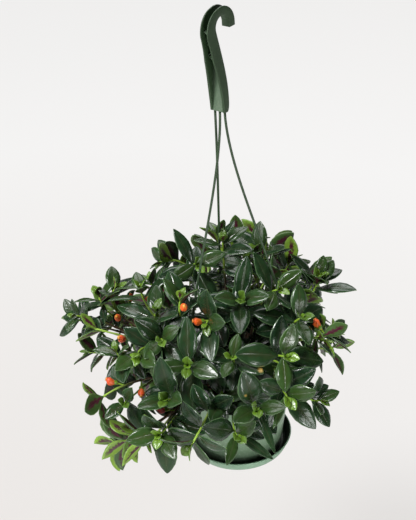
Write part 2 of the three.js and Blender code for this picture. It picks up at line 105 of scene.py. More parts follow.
def set_down(bm, name, materials, nodes):
    """The finished piece, in place of its CAD nodes."""
    piece = place_mesh(bm, name, materials)
    piece.data.polygons.foreach_set("use_smooth", [True] * len(piece.data.polygons))
    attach(piece, "root")
    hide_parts(*nodes)


def feed(tree, node, inputs):
    """Sets a node's inputs: a link from another node's socket, or a plain value."""
    for key, value in inputs.items():
        if isinstance(value, bpy.types.NodeSocket):
            tree.links.new(value, node.inputs[key])
        else:
            node.inputs[key].default_value = value


def add_node(tree, kind, inputs=None, **settings):
    made = tree.nodes.new("ShaderNode" + kind)
    for key, value in settings.items():
        setattr(made, key, value)
    feed(tree, made, inputs or {})
    return made


def mixed(tree, factor, low, high):
    return add_node(tree, "Mix", {0: factor, 6: low, 7: high}, data_type="RGBA").outputs[2]


def ranged(tree, value, low, high, to_low=0, to_high=1):
    inputs = {"Value": value, "From Min": low, "From Max": high, "To Min": to_low, "To Max": to_high}
    return add_node(tree, "MapRange", inputs).outputs["Result"]


def worked(tree, operation, first, second):
    return add_node(tree, "Math", {0: first, 1: second}, operation=operation).outputs[0]


def times(tree, first, second):
    return worked(tree, "MULTIPLY", first, second)


def own_place(tree):
    return add_node(tree, "TexCoord").outputs["Object"]


def noise(tree, place, scale, detail):
    return add_node(tree, "TexNoise", {"Vector": place, "Scale": scale, "Detail": detail}).outputs["Fac"]


def dress(tree, shader, colour, roughness, height, strength, distance):
    """Gives a finish its colour, its roughness and a relief."""
    inputs = {"Height": height, "Strength": strength, "Distance": distance}
    normal = add_node(tree, "Bump", inputs).outputs["Normal"]
    feed(tree, shader, {"Base Color": colour, "Roughness": roughness, "Normal": normal})


def new_group(name, inputs, outputs):
    group = bpy.data.node_groups.new(name, "ShaderNodeTree")
    for way, sockets in (("INPUT", inputs), ("OUTPUT", outputs)):
        for label, kind in sockets:
            group.interface.new_socket(name=label, in_out=way, socket_type=kind)
    return group, group.nodes.new("NodeGroupInput").outputs, group.nodes.new("NodeGroupOutput")


def place_group(tree, group, inputs):
    return add_node(tree, "Group", inputs, node_tree=group).outputs


COLOUR, NUMBER = "NodeSocketColor", "NodeSocketFloat"
# Heights in millimetres between which the painted shade at a pot's foot fades out.
FOOT_SHADE_FROM, FOOT_SHADE_HEIGHT = 6, 58


def make_moulding():
    """Moulded plastic: faint cloudiness, fine grain, dust, and painted shade that darkens its foot."""
    group, given, out = new_group(
        "moulded_plastic",
        [("Colour", COLOUR), ("Dusty", COLOUR), ("Dust", NUMBER), ("Gloss", NUMBER), ("Painted Foot Shade", NUMBER)],
        [("Colour", COLOUR), ("Roughness", NUMBER), ("Height", NUMBER)])
    place = own_place(group)
    cloud = noise(group, place, 45, 3)
    speck = noise(group, place, 420, 4)
    grain = noise(group, place, 1600, 2)
    dust = times(group, ranged(group, speck, 0.52, 0.72), given["Dust"])
    height = add_node(group, "SeparateXYZ", {0: place}).outputs["Z"]
    foot = ranged(group, height, at(0, 0, FOOT_SHADE_FROM).z, at(0, 0, FOOT_SHADE_HEIGHT).z, 1, 0)
    # Painted shade: darker towards the foot, where the saucer shades the pot.
    painted_foot_shade = times(group, times(group, foot, foot), given["Painted Foot Shade"])
    shade = mixed(group, ranged(group, cloud, 0.3, 0.7, 0, 0.18), given["Colour"], (0, 0, 0, 1))
    shade = mixed(group, painted_foot_shade, shade, (0.006, 0.012, 0.007, 1))
    shade = mixed(group, dust, shade, given["Dusty"])
    rough = worked(group, "ADD", given["Gloss"], ranged(group, speck, 0.3, 0.7, -0.04, 0.08))
    relief = times(group, worked(group, "ADD", grain, cloud), 0.5)
    feed(group, out, {"Colour": shade, "Roughness": rough, "Height": relief})
    return group


MOULDING = make_moulding()


def new_material(name):
    made = bpy.data.materials.new(name)
    made.use_nodes = True
    return made, made.node_tree, made.node_tree.nodes["Principled BSDF"]


def plastic(name, colour, dusty, dust, gloss, painted_foot_shade=0):
    made, tree, shader = new_material(name)
    surface = place_group(tree, MOULDING, {
        "Colour": colour, "Dusty": dusty, "Dust": dust, "Gloss": gloss, "Painted Foot Shade": painted_foot_shade})
    dress(tree, shader, surface["Colour"], surface["Roughness"], surface["Height"], 0.12, 0.0003)
    return made


bm = bmesh.new()
turn_profile(bm, SAUCER_PROFILE, TURN_STEPS)
round_edges(bm, 0.5, 25)
face_outwards(bm)
# Faces inside the saucer above its floor that face upwards take a near-black plastic: painted shade in the
# narrow gap round the pot's foot.
for face in bm.faces:
    middle = face.calc_center_median()
    within = middle.z > at(0, 0, SAUCER_FLOOR).z and middle.xy.length < SAUCER_INSIDE * MM
    face.material_index = 1 if within and face.normal.z > 0.1 else 0
saucer_green = plastic("saucer_green", (0.2, 0.35, 0.225, 1), (0.46, 0.52, 0.42, 1), 0.25, 0.3)
# Near-black plastic for the saucer's inside: painted shade.
saucer_painted_shade = plastic("saucer_painted_shade", (0.02, 0.034, 0.022, 1), (0.05, 0.045, 0.035, 1), 0.3, 0.45)
set_down(bm, "saucer_dish", [saucer_green, saucer_painted_shade], ["saucer"])

# Pot: a tapered shell of pale grey-green satin plastic with a rolled lip. Three flat ears
# outside the lip take the hanger's strands, and the floor has a snap hole and drain holes.
POT_BOTTOM = 2.3
POT_TOP = 116
POT_WALL = 1.8
POT_FLOOR = 2
POT_BASE = 53
POT_MIDDLE = 60
POT_RIM = 70
SNAP_HOLE = 4.4
LIP_FOOT = 109
LIP_WIDTH = 1.6
EAR_WIDTH = 11
EAR_THICKNESS = 3
EAR_REACH = 8.5
EAR_TOP = 114.5
EYE_RADIUS = 2.2
EYE_REACH = POT_RIM + EAR_REACH / 2
DRAIN_REACH = 32
DRAIN_RADIUS = 4
DRAIN_OPENING = 3.6
STRAND_AZIMUTHS = [100, 220, 340]


def pot_wall(height):
    slope = (POT_RIM - LIP_WIDTH - POT_BASE) / (POT_TOP - POT_BOTTOM)
    return POT_BASE + slope * (height - POT_BOTTOM)


def verts_in(geom):
    return [item for item in geom if isinstance(item, bmesh.types.BMVert)]


def shape_ear(bm, azimuth):
    """A plate with a round eye: a disc whose half towards the lip is squared off."""
    eye = bmesh.ops.create_circle(bm, segments=24, radius=EYE_RADIUS * MM)["verts"]
    edge = bmesh.ops.create_circle(bm, segments=24, radius=EAR_WIDTH / 2 * MM)["verts"]
    for vert in edge:
        if vert.co.x < 0:
            vert.co.y = copysign(min(abs(vert.co.y) * 1.6, EAR_WIDTH / 2 * MM), vert.co.y)
            vert.co.x = max(vert.co.x * 3, -(EAR_REACH / 2 + POT_WALL) * MM)
        else:
            vert.co.x *= EAR_REACH / EAR_WIDTH
    loops = list({line for vert in eye + edge for line in vert.link_edges})
    plate = bmesh.ops.bridge_loops(bm, edges=loops)["faces"]
    lifted = verts_in(bmesh.ops.extrude_face_region(bm, geom=plate)["geom"])
    bmesh.ops.translate(bm, verts=lifted, vec=(0, 0, EAR_THICKNESS * MM))
    whole = eye + edge + lifted
    bmesh.ops.translate(bm, verts=whole, vec=at(EYE_REACH, 0, EAR_TOP - EAR_THICKNESS))
    turn = Matrix.Rotation(radians(azimuth), 3, "Z")
    bmesh.ops.rotate(bm, verts=whole, cent=(0, 0, 0), matrix=turn)


def bore_drain(bm, azimuth):
    """A round hole: both sides of the floor are opened, and the two edges made round and joined."""
    middle = at(*polar(azimuth, DRAIN_REACH, POT_BOTTOM + POT_FLOOR / 2))
    near = [face for face in bm.faces
            if (face.calc_center_median() - middle).length < DRAIN_OPENING * MM]
    bmesh.ops.delete(bm, geom=near, context="FACES")
    edges = [edge for edge in bm.edges if edge.is_boundary]
    for vert in {vert for edge in edges for vert in edge.verts}:
        arm = (vert.co - middle).xy.normalized() * DRAIN_RADIUS * MM
        vert.co.xy = middle.xy + arm
    bmesh.ops.bridge_loops(bm, edges=edges)


floor_rings = [26, 28, 30, 32, 34, 36, 38]
inner_floor = POT_BOTTOM + POT_FLOOR
pot_profile = [
    (SNAP_HOLE, POT_BOTTOM), *[(ring, POT_BOTTOM) for ring in floor_rings], (51, POT_BOTTOM),
    (POT_BASE, inner_floor), (pot_wall(POT_MIDDLE), POT_MIDDLE), (pot_wall(LIP_FOOT), LIP_FOOT),
    (pot_wall(LIP_FOOT) + LIP_WIDTH, LIP_FOOT + 1), (POT_RIM, POT_TOP - 0.8), (POT_RIM - 0.8, POT_TOP),
    (POT_RIM - LIP_WIDTH - POT_WALL, POT_TOP), (pot_wall(POT_MIDDLE) - POT_WALL, POT_MIDDLE),
    (POT_BASE - POT_WALL, inner_floor), *[(ring, inner_floor) for ring in reversed(floor_rings)],
    (SNAP_HOLE, inner_floor), (SNAP_HOLE, POT_BOTTOM),
]
bm = bmesh.new()
turn_profile(bm, pot_profile, TURN_STEPS)
round_edges(bm, 0.5, 25)
for azimuth in (0, 90, 180, 270):
    bore_drain(bm, azimuth)
for azimuth in STRAND_AZIMUTHS:
    shape_ear(bm, azimuth)
face_outwards(bm)
# The pot's foot is darkened with painted shade where it stands in the saucer.
pot_green = plastic("pot_green", (0.17, 0.27, 0.165, 1), (0.4, 0.46, 0.36, 1), 0.25, 0.32, 0.85)
set_down(bm, "tapered_pot", [pot_green], ["pot"])

# Soil: dark peat compost that fills the pot to 12 mm below its rim. Its top is loose, with
# crumbs and a few white grains of perlite.
SOIL_TOP = 104
SOIL_GAP = 0.6
SOIL_STEPS = 64
LOOSE_FROM = 103
CRUMBS = 420
CRUMB_REACH = 62
PERLITE_EVERY = 12


def draws():
    """Even random numbers from 0 to 1, the same on every run."""
    seed = 20727
    while True:
        seed = seed * 16807 % 2147483647
        yield seed / 2147483647


def make_soil_brown():
    made, tree, shader = new_material("soil_brown")
    place = own_place(tree)
    clump = noise(tree, place, 260, 6)
    fibre = add_node(tree, "TexVoronoi", {"Vector": place, "Scale": 520}).outputs["Distance"]
    dark = mixed(tree, ranged(tree, clump, 0.35, 0.65), (0.006, 0.004, 0.003, 1), (0.045, 0.028, 0.018, 1))
    brown = mixed(tree, ranged(tree, fibre, 0.6, 0.9, 0, 0.5), dark, (0.11, 0.075, 0.05, 1))
    dress(tree, shader, brown, 0.95, clump, 1, 0.0015)
    return made


def make_perlite():
    made, tree, shader = new_material("perlite_white")
    pores = noise(tree, own_place(tree), 900, 3)
    white = mixed(tree, pores, (0.32, 0.28, 0.22, 1), (0.8, 0.77, 0.7, 1))
    feed(tree, shader, {"Base Color": white, "Roughness": 0.9})
    return made


def pot_inside(height):
    return pot_wall(height) - POT_WALL - SOIL_GAP


def faces_at(verts):
    return {face for vert in verts for face in vert.link_faces}


chance = draws()
bm = bmesh.new()
turn_profile(bm, [
    (0, 8.5), (6.4, 8.5), (6.4, 4.6), (pot_inside(4.6), 4.6), (pot_inside(102), 102),
    (pot_inside(SOIL_TOP) - 3, SOIL_TOP), *[(ring, SOIL_TOP) for ring in (48, 36, 24, 12, 0)],
], SOIL_STEPS)
loose = at(0, 0, LOOSE_FROM).z
edges = [edge for edge in bm.edges if min(vert.co.z for vert in edge.verts) > loose]
bmesh.ops.subdivide_edges(bm, edges=edges, cuts=1, use_grid_fill=True)
for vert in bm.verts:
    if vert.co.z > loose:
        vert.co.z += (next(chance) - 0.6) * 2.4 * MM
for grain in range(CRUMBS):
    azimuth, reach = 360 * next(chance), CRUMB_REACH * sqrt(next(chance))
    size = 0.7 + 1.5 * next(chance) ** 2
    centre = at(*polar(azimuth, reach, SOIL_TOP + size * 0.3))
    crumb = bmesh.ops.create_icosphere(bm, subdivisions=1, radius=size * MM)["verts"]
    for vert in crumb:
        vert.co *= 0.7 + 0.5 * next(chance)
        vert.co.z *= 0.75
    bmesh.ops.translate(bm, verts=crumb, vec=centre)
    for face in faces_at(crumb):
        face.material_index = 1 if grain % PERLITE_EVERY == 0 else 0
set_down(bm, "potting_soil", [make_soil_brown(), make_perlite()], ["soil"])

# Hook: one moulded channel of dark green plastic. It is a strap that is wide and shallow at
# its foot and narrow and deep above, and that bends over into a crook to hang by.
CROOK_RADIUS = 12
CROOK_TURN = 178
CROOK_TIP = 5
STRAP_LENGTH = 88
STRAP_LEANS = (15, -3)
STRAP_PLANE = 50
WEB = 2
FLANGE = 1.4
CHANNEL_HALF = 5
FOOT_WIDENING = 1.9
WIDER_FROM = 15
DEPTHS = {"foot": 7, "strap": 13, "crook": 8}
STRAP_RINGS = 36
CROOK_RINGS = 36
HEELS = (2.2, 1, 0.4, 0.1)
PLATE_FOOT = 0.5
PLATE_HALF = CHANNEL_HALF - FLANGE + 0.2
WEDGE_STATIONS = 24
WEDGE_HEIGHTS = (6.4, 1)
TIP_HEIGHT = 7.4
RIB_STATIONS = (25, 31)
RIB_HEIGHT = 8
BRACES = 5
BRACE_RUN = 3
BRACE_HALF = 0.45


def between(low, high, share):
    return low + (high - low) * max(0, min(1, share))


def eased(value, low, high):
    share = max(0, min(1, (value - low) / (high - low)))
    return share * share * (3 - 2 * share)


def outward_of(angle):
    return Vector((cos(radians(angle)), sin(radians(angle))))


def hook_stations():
    """Places on the web's centre line from the foot up and over: point, side that faces out, depth."""
    centre = Vector((0, WEB / 2 - CROOK_RADIUS))
    point = centre + outward_of(180 + STRAP_LEANS[0]) * CROOK_RADIUS
    stations = []
    for i in range(STRAP_RINGS + 1):
        share = i / STRAP_RINGS
        out = outward_of(180 + between(*STRAP_LEANS, share))
        deep = between(DEPTHS["foot"], DEPTHS["strap"], (1 - share) * 1.5)
        stations.insert(0, (point.copy(), out, deep))
        point += Vector((-out.y, out.x)) * STRAP_LENGTH / STRAP_RINGS
    for i in range(1, CROOK_RINGS + 1):
        share = i / CROOK_RINGS
        out = outward_of(180 + STRAP_LEANS[0] - (CROOK_TURN + STRAP_LEANS[0]) * share)
        deep = between(DEPTHS["strap"], DEPTHS["crook"], share * 9 / 4)
        stations.append((centre + out * CROOK_RADIUS, out, deep))
    point, out, deep = stations[-1]
    stations.append((point + Vector((out.y, -out.x)) * CROOK_TIP, out, deep))
    return stations


def hook_place(point, out, offset, level):
    """From the hook's own plane to the row's frame; the channel widens towards its foot."""
    spot = point + out * offset
    wide = between(1, FOOT_WIDENING, eased(-spot.y, WIDER_FROM, STRAP_LENGTH))
    side = polar(STRAP_PLANE - 90, level * wide, 0)
    along = polar(STRAP_PLANE, spot.x, 0)
    return at(along.x + side.x, along.y + side.y, SEAT_HEIGHT + spot.y)


def sweep(bm, rings):
    """A closed skin through rings of places, grown ring by ring from the first."""
    first = [bm.verts.new(place) for place in rings[0]]
    edges = [bm.edges.new((first[i - 1], first[i])) for i in range(len(first))]
    bmesh.ops.contextual_create(bm, geom=first + edges)
    verts = first
    skin = list(first)
    for places in rings[1:]:
        grown = bmesh.ops.extrude_edge_only(bm, edges=edges)["geom"]
        fresh = verts_in(grown)
        edges = [item for item in grown if isinstance(item, bmesh.types.BMEdge)
                 and item.verts[0] in fresh and item.verts[1] in fresh]
        partner = {edge.other_vert(vert): vert for vert in fresh for edge in vert.link_edges
                   if edge.other_vert(vert) in verts}
        verts = [partner[vert] for vert in verts]
        for vert, place in zip(verts, places):
            vert.co = place
        skin.extend(verts)
    bmesh.ops.contextual_create(bm, geom=verts + edges)
    return skin


def heel_at(index):
    return HEELS[index] if index < len(HEELS) else 0


def channel_ring(station, heel):
    point, out, deep = station
    half, inner = CHANNEL_HALF, CHANNEL_HALF - FLANGE
    low, top = heel - 1, heel + 1
    section = [(low, -half), (deep, -half), (deep, -inner), (top, -inner), (top, inner), (deep, inner),
               (deep, half), (low, half)]
    return [hook_place(point, out, offset, level) for offset, level in section]


def cross_plate(bm, stations, heights):
    """A solid across the channel: the height of its upper side at each station that it covers."""
    rings = []
    for index, height in heights:
        point, out, _ = stations[index]
        low = PLATE_FOOT + heel_at(index)
        rings.append([hook_place(point, out, offset, level) for offset, level in
                      [(low, -PLATE_HALF), (height, -PLATE_HALF), (height, PLATE_HALF), (low, PLATE_HALF)]])
    return sweep(bm, rings)


def brace(bm, stations, index, side):
    """A thin wall that slants across the channel, one of the zigzag that stiffens it."""
    rings = []
    for step, level in ((index, -PLATE_HALF * side), (index + BRACE_RUN, PLATE_HALF * side)):
        point, out, _ = stations[step]
        up = Vector((out.y, -out.x)) * BRACE_HALF
        rings.append([hook_place(point + up * lift, out, offset, level) for lift, offset in
                      [(-1, PLATE_FOOT), (-1, RIB_HEIGHT), (1, RIB_HEIGHT), (1, PLATE_FOOT)]])
    return sweep(bm, rings)


stations = hook_stations()
bm = bmesh.new()
sweep(bm, [channel_ring(station, heel_at(i)) for i, station in enumerate(stations)])
wedge = cross_plate(bm, stations, [
    (i, between(*WEDGE_HEIGHTS, i / WEDGE_STATIONS)) for i in range(WEDGE_STATIONS + 1)])
# The wedge and the zigzag braces take a lighter plastic: painted light on the inside of the channel.
painted_light_faces = faces_at(wedge)
cross_plate(bm, stations, [(len(stations) - 4, TIP_HEIGHT), (len(stations) - 2, TIP_HEIGHT)])
for place in RIB_STATIONS:
    cross_plate(bm, stations, [(place, RIB_HEIGHT), (place + 1, RIB_HEIGHT)])
for turn in range(BRACES):
    wall = brace(bm, stations, WEDGE_STATIONS - 1 + turn * BRACE_RUN, 1 if turn % 2 else -1)
    painted_light_faces |= faces_at(wall)
for face in painted_light_faces:
    face.material_index = 1
face_outwards(bm)
round_edges(bm, 0.35, 40)
hanger_green = plastic("hanger_green", (0.018, 0.046, 0.014, 1), (0.07, 0.12, 0.05, 1), 0.25, 0.48)
# A lighter green for the wedge and the braces: painted light.
hanger_painted_light = plastic("hanger_painted_light", (0.09, 0.14, 0.085, 1), (0.2, 0.24, 0.17, 1), 0.4, 0.34)
set_down(bm, "hook_channel", [hanger_green, hanger_painted_light], ["hanger_hook"])

# Strands: three thin solid rods of the same green plastic, moulded into the hook's foot.
# Each hangs outside the rim, goes down through an ear's eye and ends in a knob below it.
STRAND_RADIUS = 1.35
STRAND_SPACING = 6.4
KNOB_RADIUS = 2.6
STRAND_INSET = 3.2
STRAND_TAIL = 4
STRAND_STEPS = 40


def strand_route(azimuth, index, foot):
    across = polar(STRAP_PLANE - 90, STRAND_SPACING * (index - 1), 0)
    start = across + polar(STRAP_PLANE, foot.x - STRAND_INSET, SEAT_HEIGHT + foot.y + 0.5)
    end = polar(azimuth, EYE_REACH, EAR_TOP - EAR_THICKNESS - STRAND_TAIL)
    route = []
    for i in range(STRAND_STEPS + 1):
        drop = i / STRAND_STEPS
        spot = start.lerp(end, eased(drop ** 0.9, 0, 0.985))
        spot.z = between(start.z, end.z, drop)
        route.append(spot)
    return route


def tube_rings(route, radii, sides):
    """Round rings square to a route, turned as little as may be from each to the next."""
    rings = []
    side = Vector((1, 0, 0))
    for i, spot in enumerate(route):
        ahead = (route[min(i + 1, len(route) - 1)] - route[max(i - 1, 0)]).normalized()
        side = (side - ahead * side.dot(ahead)).normalized()
        other = ahead.cross(side)
        ring = []
        for k in range(sides):
            angle = tau * k / sides
            ring.append(at(*(spot + (side * cos(angle) + other * sin(angle)) * radii[i])))
        rings.append(ring)
    return rings


for index, azimuth in enumerate(STRAND_AZIMUTHS):
    bm = bmesh.new()
    route = strand_route(azimuth, index, stations[0][0])
    sweep(bm, tube_rings(route, [STRAND_RADIUS] * len(route), 12))
    knob = bmesh.ops.create_uvsphere(bm, u_segments=16, v_segments=10, radius=KNOB_RADIUS * MM)["verts"]
    bmesh.ops.translate(bm, verts=knob, vec=at(*route[-1]))
    face_outwards(bm)
    set_down(bm, f"hanging_strand_{index + 1}", [hanger_green],
             [f"hanger_strand_{index + 1}"])

# Leafy shoots: each is a fleshy stem, some with one fork, that grows out of the soil, arches
# over the rim and carries pairs of thick glossy leaves, each pair across the one below it.
ROOT_REACH, ROOT_NEAREST, ROOT_PULL, ROOT_LEAD = 50, 8, 0.33, 45
ROOT_LOW, ROOT_LOW_LEAD, ROOT_RISE, HOLE_DEPTH, ROOT_GAP = 40, 0.45, 80, 9, 0.3
STEM_STEPS, FORK_STEPS, FORK_JOINT = 6, 4, 3
CURVE_STEPS = 200
TO_LIGHT = 0.45
HALF_WIDTH = 0.26
DROOP = 0.16
BUD_PLUMP = 1.3
LEAF_THICKNESS, THINNER_UNDER = 1.1, 24
SWING_PLAY, LEAN_PLAY, ROLL_PLAY = 14, 10, 16
SAME_TIP = 0.05
# Name, tip's azimuth, reach and height above the rim, the way it faces (azimuth, elevation),
# turn of its leaves, longest leaf, pairs, and how far they spread where that isn't the usual 1.
# A fork grows off the shoot before it.
SHOOTS = """
left_1 170 198 61 -145 41 154 38 3 | fork 179 185 84 -157 26 116 30 3 0.9
left_2 158 153 84 -160 126 4 51 3 0.95 | fork 162 170 77 127 66 177 49 3 1.05
left_3 169 109 104 111 78 60 44 3 0.85
left_4 131 111 109 172 17 153 43 3 0.65 | fork 143 101 116 180 -21 151 44 3 0.9
left_5 -174 165 79 156 4 93 35 3 0.6 | fork -152 151 81 163 61 67 41 3 0.8
left_6 -149 184 32 146 -55 115 45 3 1.05 | fork -141 164 35 -89 38 42 41 3 1.05
low_1 -133 164 -9 143 -29 1 51 3 1.1 | fork -157 162 -53 102 -27 5 51 3 0.6
low_2 -109 168 17 -142 -41 110 53 3 1.1
front_1 -145 133 83 -104 11 6 54 4 0.7 | fork -139 109 95 -91 25 41 45 3 0.85
front_2 -123 163 15 -114 14 12 54 4
front_3 -122 147 53 -122 38 12 54 4 0.8
front_4 -118 115 80 -95 29 171 54 3 1.1
front_5 -93 101 86 -105 52 77 39 3 0.95 | fork -100 105 31 -53 50 27 54 3 0.95
front_6 -83 142 47 -90 35 15 54 3 0.7
front_7 -92 143 13 -75 24 52 52 3 0.8
front_8 -63 114 85 -60 27 64 54 3 1.1 | fork -58 89 52 -113 -1 177 54 3 1.05
front_9 -68 138 50 -77 -1 46 54 3 0.75
right_1 -53 147 33 -37 17 5 37 3 0.8
right_2 -28 116 70 17 -35 14 36 3 1.1 | fork -29 124 80 17 -10 29 43 3 0.65
right_3 -37 92 102 -57 46 67 54 3 1.05 | fork -12 90 63 -16 14 127 54 3 0.65
right_4 27 119 80 0 75 141 52 4 0.8 | fork 29 124 83 -47 55 39 40 3 0.75
top_1 65 85 114 33 125 120 54 3 0.75 | fork 97 99 129 86 62 109 37 3 0.6
top_2 102 36 154 130 90 16 49 3 1.1 | fork 51 65 109 98 53 113 30 3 1.1
top_3 161 42 139 -67 28 15 51 3 1.05
top_4 -78 39 120 -85 42 169 54 3 0.75
top_5 -29 58 124 -53 34 19 51 3 1.1 | fork 21 58 115 10 11 36 40 3
top_6 47 109 93 46 34 84 54 3 0.75 | fork 72 72 107 54 108 29 51 3 0.75
top_7 -165 93 100 128 97 102 54 3 1.1
top_8 -143 74 128 -151 103 25 46 3 0.6
top_9 -116 72 109 -112 8 27 53 3 0.8
back_1 70 160 74 80 -22 142 54 3
back_2 85 148 94 83 30 89 49 3 0.8 | fork 97 96 72 109 38 32 33 3 0.95
back_3 100 150 79 77 58 151 47 3 0.75
back_4 133 148 59 145 66 83 40 3 0.7 | fork 119 106 81 121 57 76 36 3
back_5 77 166 23 58 44 49 35 3 0.6
back_6 99 160 35 110 -11 150 47 3 0.85
back_7 121 173 0 78 -13 107 53 3 0.8
back_8 148 175 26 117 -46 159 45 3 0.9
back_9 46 137 52 89 -18 40 51 3 0.6 | fork 63 98 47 42 34 24 39 3 0.9
back_10 4 121 14 73 -20 144 38 3 0.85
back_11 83 136 -41 87 -16 81 39 3
back_12 142 139 -63 146 -108 11 54 3 0.6
back_13 171 181 12 163 -3 177 37 3 0.75
"""
# Pairs from the tip back: distance back, lean off the stem, length share, quarter turns.
PAIRS = [(0, 24, 0.34, 1), (5, 52, 0.74, 0), (12, 68, 1, 1), (30, 72, 0.92, 0)]
# Leaves that are drawn narrower, as if folded along their midrib: their width against a flat leaf's.
FOLDED = {
    ("front_6", 2, 1): 0.36, ("front_7", 2, 1): 0.42, ("front_9", 1, 1): 0.5, ("low_2", 2, 1): 0.55,
    ("front_7", 1, 1): 0.7, ("front_9", 2, 1): 0.85, ("front_6", 1, 0): 0.85, ("front_4", 2, 1): 0.8,
    ("top_3", 2, 0): 0.6, ("top_4", 2, 1): 0.75, ("top_5", 2, 0): 0.75, ("top_9", 2, 1): 0.8,
    ("top_4", 2, 0): 0.8, ("top_7", 2, 0): 0.8, ("right_2_fork", 2, 0): 0.7, ("low_1_fork", 2, 1): 0.75,
}
# How a leaf makes room for a neighbour: swing round the stem, lean, roll, length share.
DODGES = [
    (0, 0, 0, 1), (12, 0, 0, 1), (-12, 0, 0, 1), (0, -14, 0, 1), (0, 14, 0, 1), (0, 0, 25, 1), (0, 0, -25, 1),
    (24, -8, 15, 0.95), (-24, -8, -15, 0.95), (18, 20, 0, 0.9), (-18, 20, 0, 0.9), (0, -26, 0, 0.9),
    (12, -14, 30, 0.8), (-12, -14, -30, 0.8), (30, 0, 0, 0.75), (-30, 0, 0, 0.75), (0, -30, 0, 0.7),
    (0, 24, 0, 0.7), (20, -30, 20, 0.62), (-20, -30, -20, 0.62),
]


def direction(azimuth, elevation):
    return polar(azimuth, cos(radians(elevation)), sin(radians(elevation)))


class Stem:
    """A cubic curve that is walked by its length, as a gardener would measure along a stem."""

    def __init__(self, name, fork, parent, handles, length, spin, pairs, spread):
        self.name, self.fork = name, fork
        self.shoot = parent.name if fork else name
        self.handles, self.leaf_length, self.spin = handles, length, spin
        self.pairs, self.spread = pairs, spread
        marks = [self.point(i / CURVE_STEPS) for i in range(CURVE_STEPS + 1)]
        self.runs = [0]
        for low, high in zip(marks, marks[1:]):
            self.runs.append(self.runs[-1] + (high - low).length)
        self.length = self.runs[-1]
        self.steps = FORK_STEPS if fork else STEM_STEPS
        self.joints = [self.point(self.share(i / self.steps)) for i in range(self.steps + 1)]

    def point(self, t):
        a, b, c, d = self.handles
        k = 1 - t
        return a * k ** 3 + b * (3 * k * k * t) + c * (3 * k * t * t) + d * t ** 3

    def share(self, u):
        """The curve's own parameter at a share of its length."""
        target = u * self.length
        low = max(0, min(CURVE_STEPS - 1, bisect_right(self.runs, target) - 1))
        return (low + (target - self.runs[low]) / (self.runs[low + 1] - self.runs[low])) / CURVE_STEPS

    def heading(self, u):
        t = self.share(u)
        return (self.point(min(1, t + 0.0001)) - self.point(max(0, t - 0.0001))).normalized()

    def place(self, back):
        """On the straight lengths between joints: place and heading, a distance back from the tip."""
        run = (self.length - back) / self.length * self.steps
        segment = min(self.steps - 1, floor(run))
        spot = self.joints[segment].lerp(self.joints[segment + 1], run - segment)
        return spot, self.heading(run / self.steps)


def grow_stems():
    stems = []
    for row in SHOOTS.replace("|", "\n").strip().splitlines():
        name, *numbers = row.split()
        numbers = [float(number) for number in numbers + ["1"]][:9]
        azimuth, reach, rise, face_azimuth, face_elevation, spin, length, pairs, spread = numbers
        tip = polar(azimuth, reach, POT_TOP + rise)
        facing = direction(face_azimuth, face_elevation)
        fork = name == "fork"
        parent = stems[-1] if fork else None
        if fork:
            name = parent.name + "_fork"
            start = parent.joints[FORK_JOINT].copy()
            lead = start + parent.heading(0.5) * (tip - start).length * 0.3
        else:
            root = max(ROOT_NEAREST, min(ROOT_REACH, ROOT_REACH - rise * ROOT_PULL))
            start = polar(azimuth, root, SOIL_TOP - HOLE_DEPTH + ROOT_GAP)
            arch = ROOT_LEAD + max(0, ROOT_LOW - rise) * ROOT_LOW_LEAD
            lead = start + direction(azimuth, ROOT_RISE) * arch
        last = tip - facing * (tip - start).length * (0.4 if fork else 0.35)
        stems.append(Stem(name, fork, parent, (start, lead, last, tip), length, spin, int(pairs), spread))
    return stems


def leaf_axes(stem, back, lean, quarter, side, jitter, dodge):
    """The leaf's place, its length, its width and its upper side, as directions."""
    origin, axis = stem.place(back)
    level = Vector((-axis.y, axis.x, 0))
    level = level.normalized() if level.length >= 0.05 else Vector((1, 0, 0))
    turn = radians(stem.spin + 90 * quarter + 180 * side + dodge[0] + SWING_PLAY * jitter[0])
    outward = Quaternion(axis, turn) @ level
    opening = radians((lean + dodge[1]) * stem.spread + LEAN_PLAY * jitter[1])
    along = axis * cos(opening) + outward * sin(opening)
    up = axis + Vector((0, 0, TO_LIGHT))
    up = (up - along * up.dot(along)).normalized()
    up = Quaternion(along, radians(dodge[2] + ROLL_PLAY * jitter[2])) @ up
    return origin, along, up.cross(along), up


class Leaf:
    """A thick pointed blade along its own axis; its stalk end is drawn to where it is attached."""

    def __init__(self, axes, length, mood, shift=Vector(), plump=1):
        self.origin, self.along, self.across, self.up = axes
        self.length, self.mood, self.shift, self.plump = length, mood, shift, plump

    def place(self, x, y, z):
        share = max(0, min(1, x / self.length))
        spot = self.origin + self.along * x + self.across * y + self.up * z
        return spot + self.shift * (1 - share) ** 2

    def surface(self, t, s):
        """A point of the upper face: t from stalk to tip, s from edge to edge."""
        length = self.length
        swell = sin(pi * max(0, t - 0.06) / 0.94)
        width = HALF_WIDTH * self.plump * length * max(0, swell) ** (0.8 if t < 0.5 else 0.75)
        width = max(width, min(0.8, 0.05 * length) * (1 - t) + 0.05)
        curl, cup, wave = self.mood
        y = s * width * (1 - 0.05 * cup)
        puff = 0.2 * width * sin(pi * abs(s) ** 0.9) * swell
        rolled = -0.2 * (0.4 + cup) * width * s ** 4
        ripple = 0.05 * width * sin(7 * t + 6.28 * wave) * s * abs(s)
        bend = -DROOP * length * t * t + 0.06 * curl * length * sin(pi * t) ** 2
        return t * length, y, bend + 0.16 * abs(y) + puff + rolled + ripple


def leaf_on(stem, back, rank, axes, length, jitter, folded=1):
    true_spot = stem.point(stem.share((stem.length - back) / stem.length))
    leaf = Leaf(axes, length, jitter, true_spot - axes[0], BUD_PLUMP if rank == 0 else folded)
    leaf.stem, leaf.rank = stem, rank
    return leaf


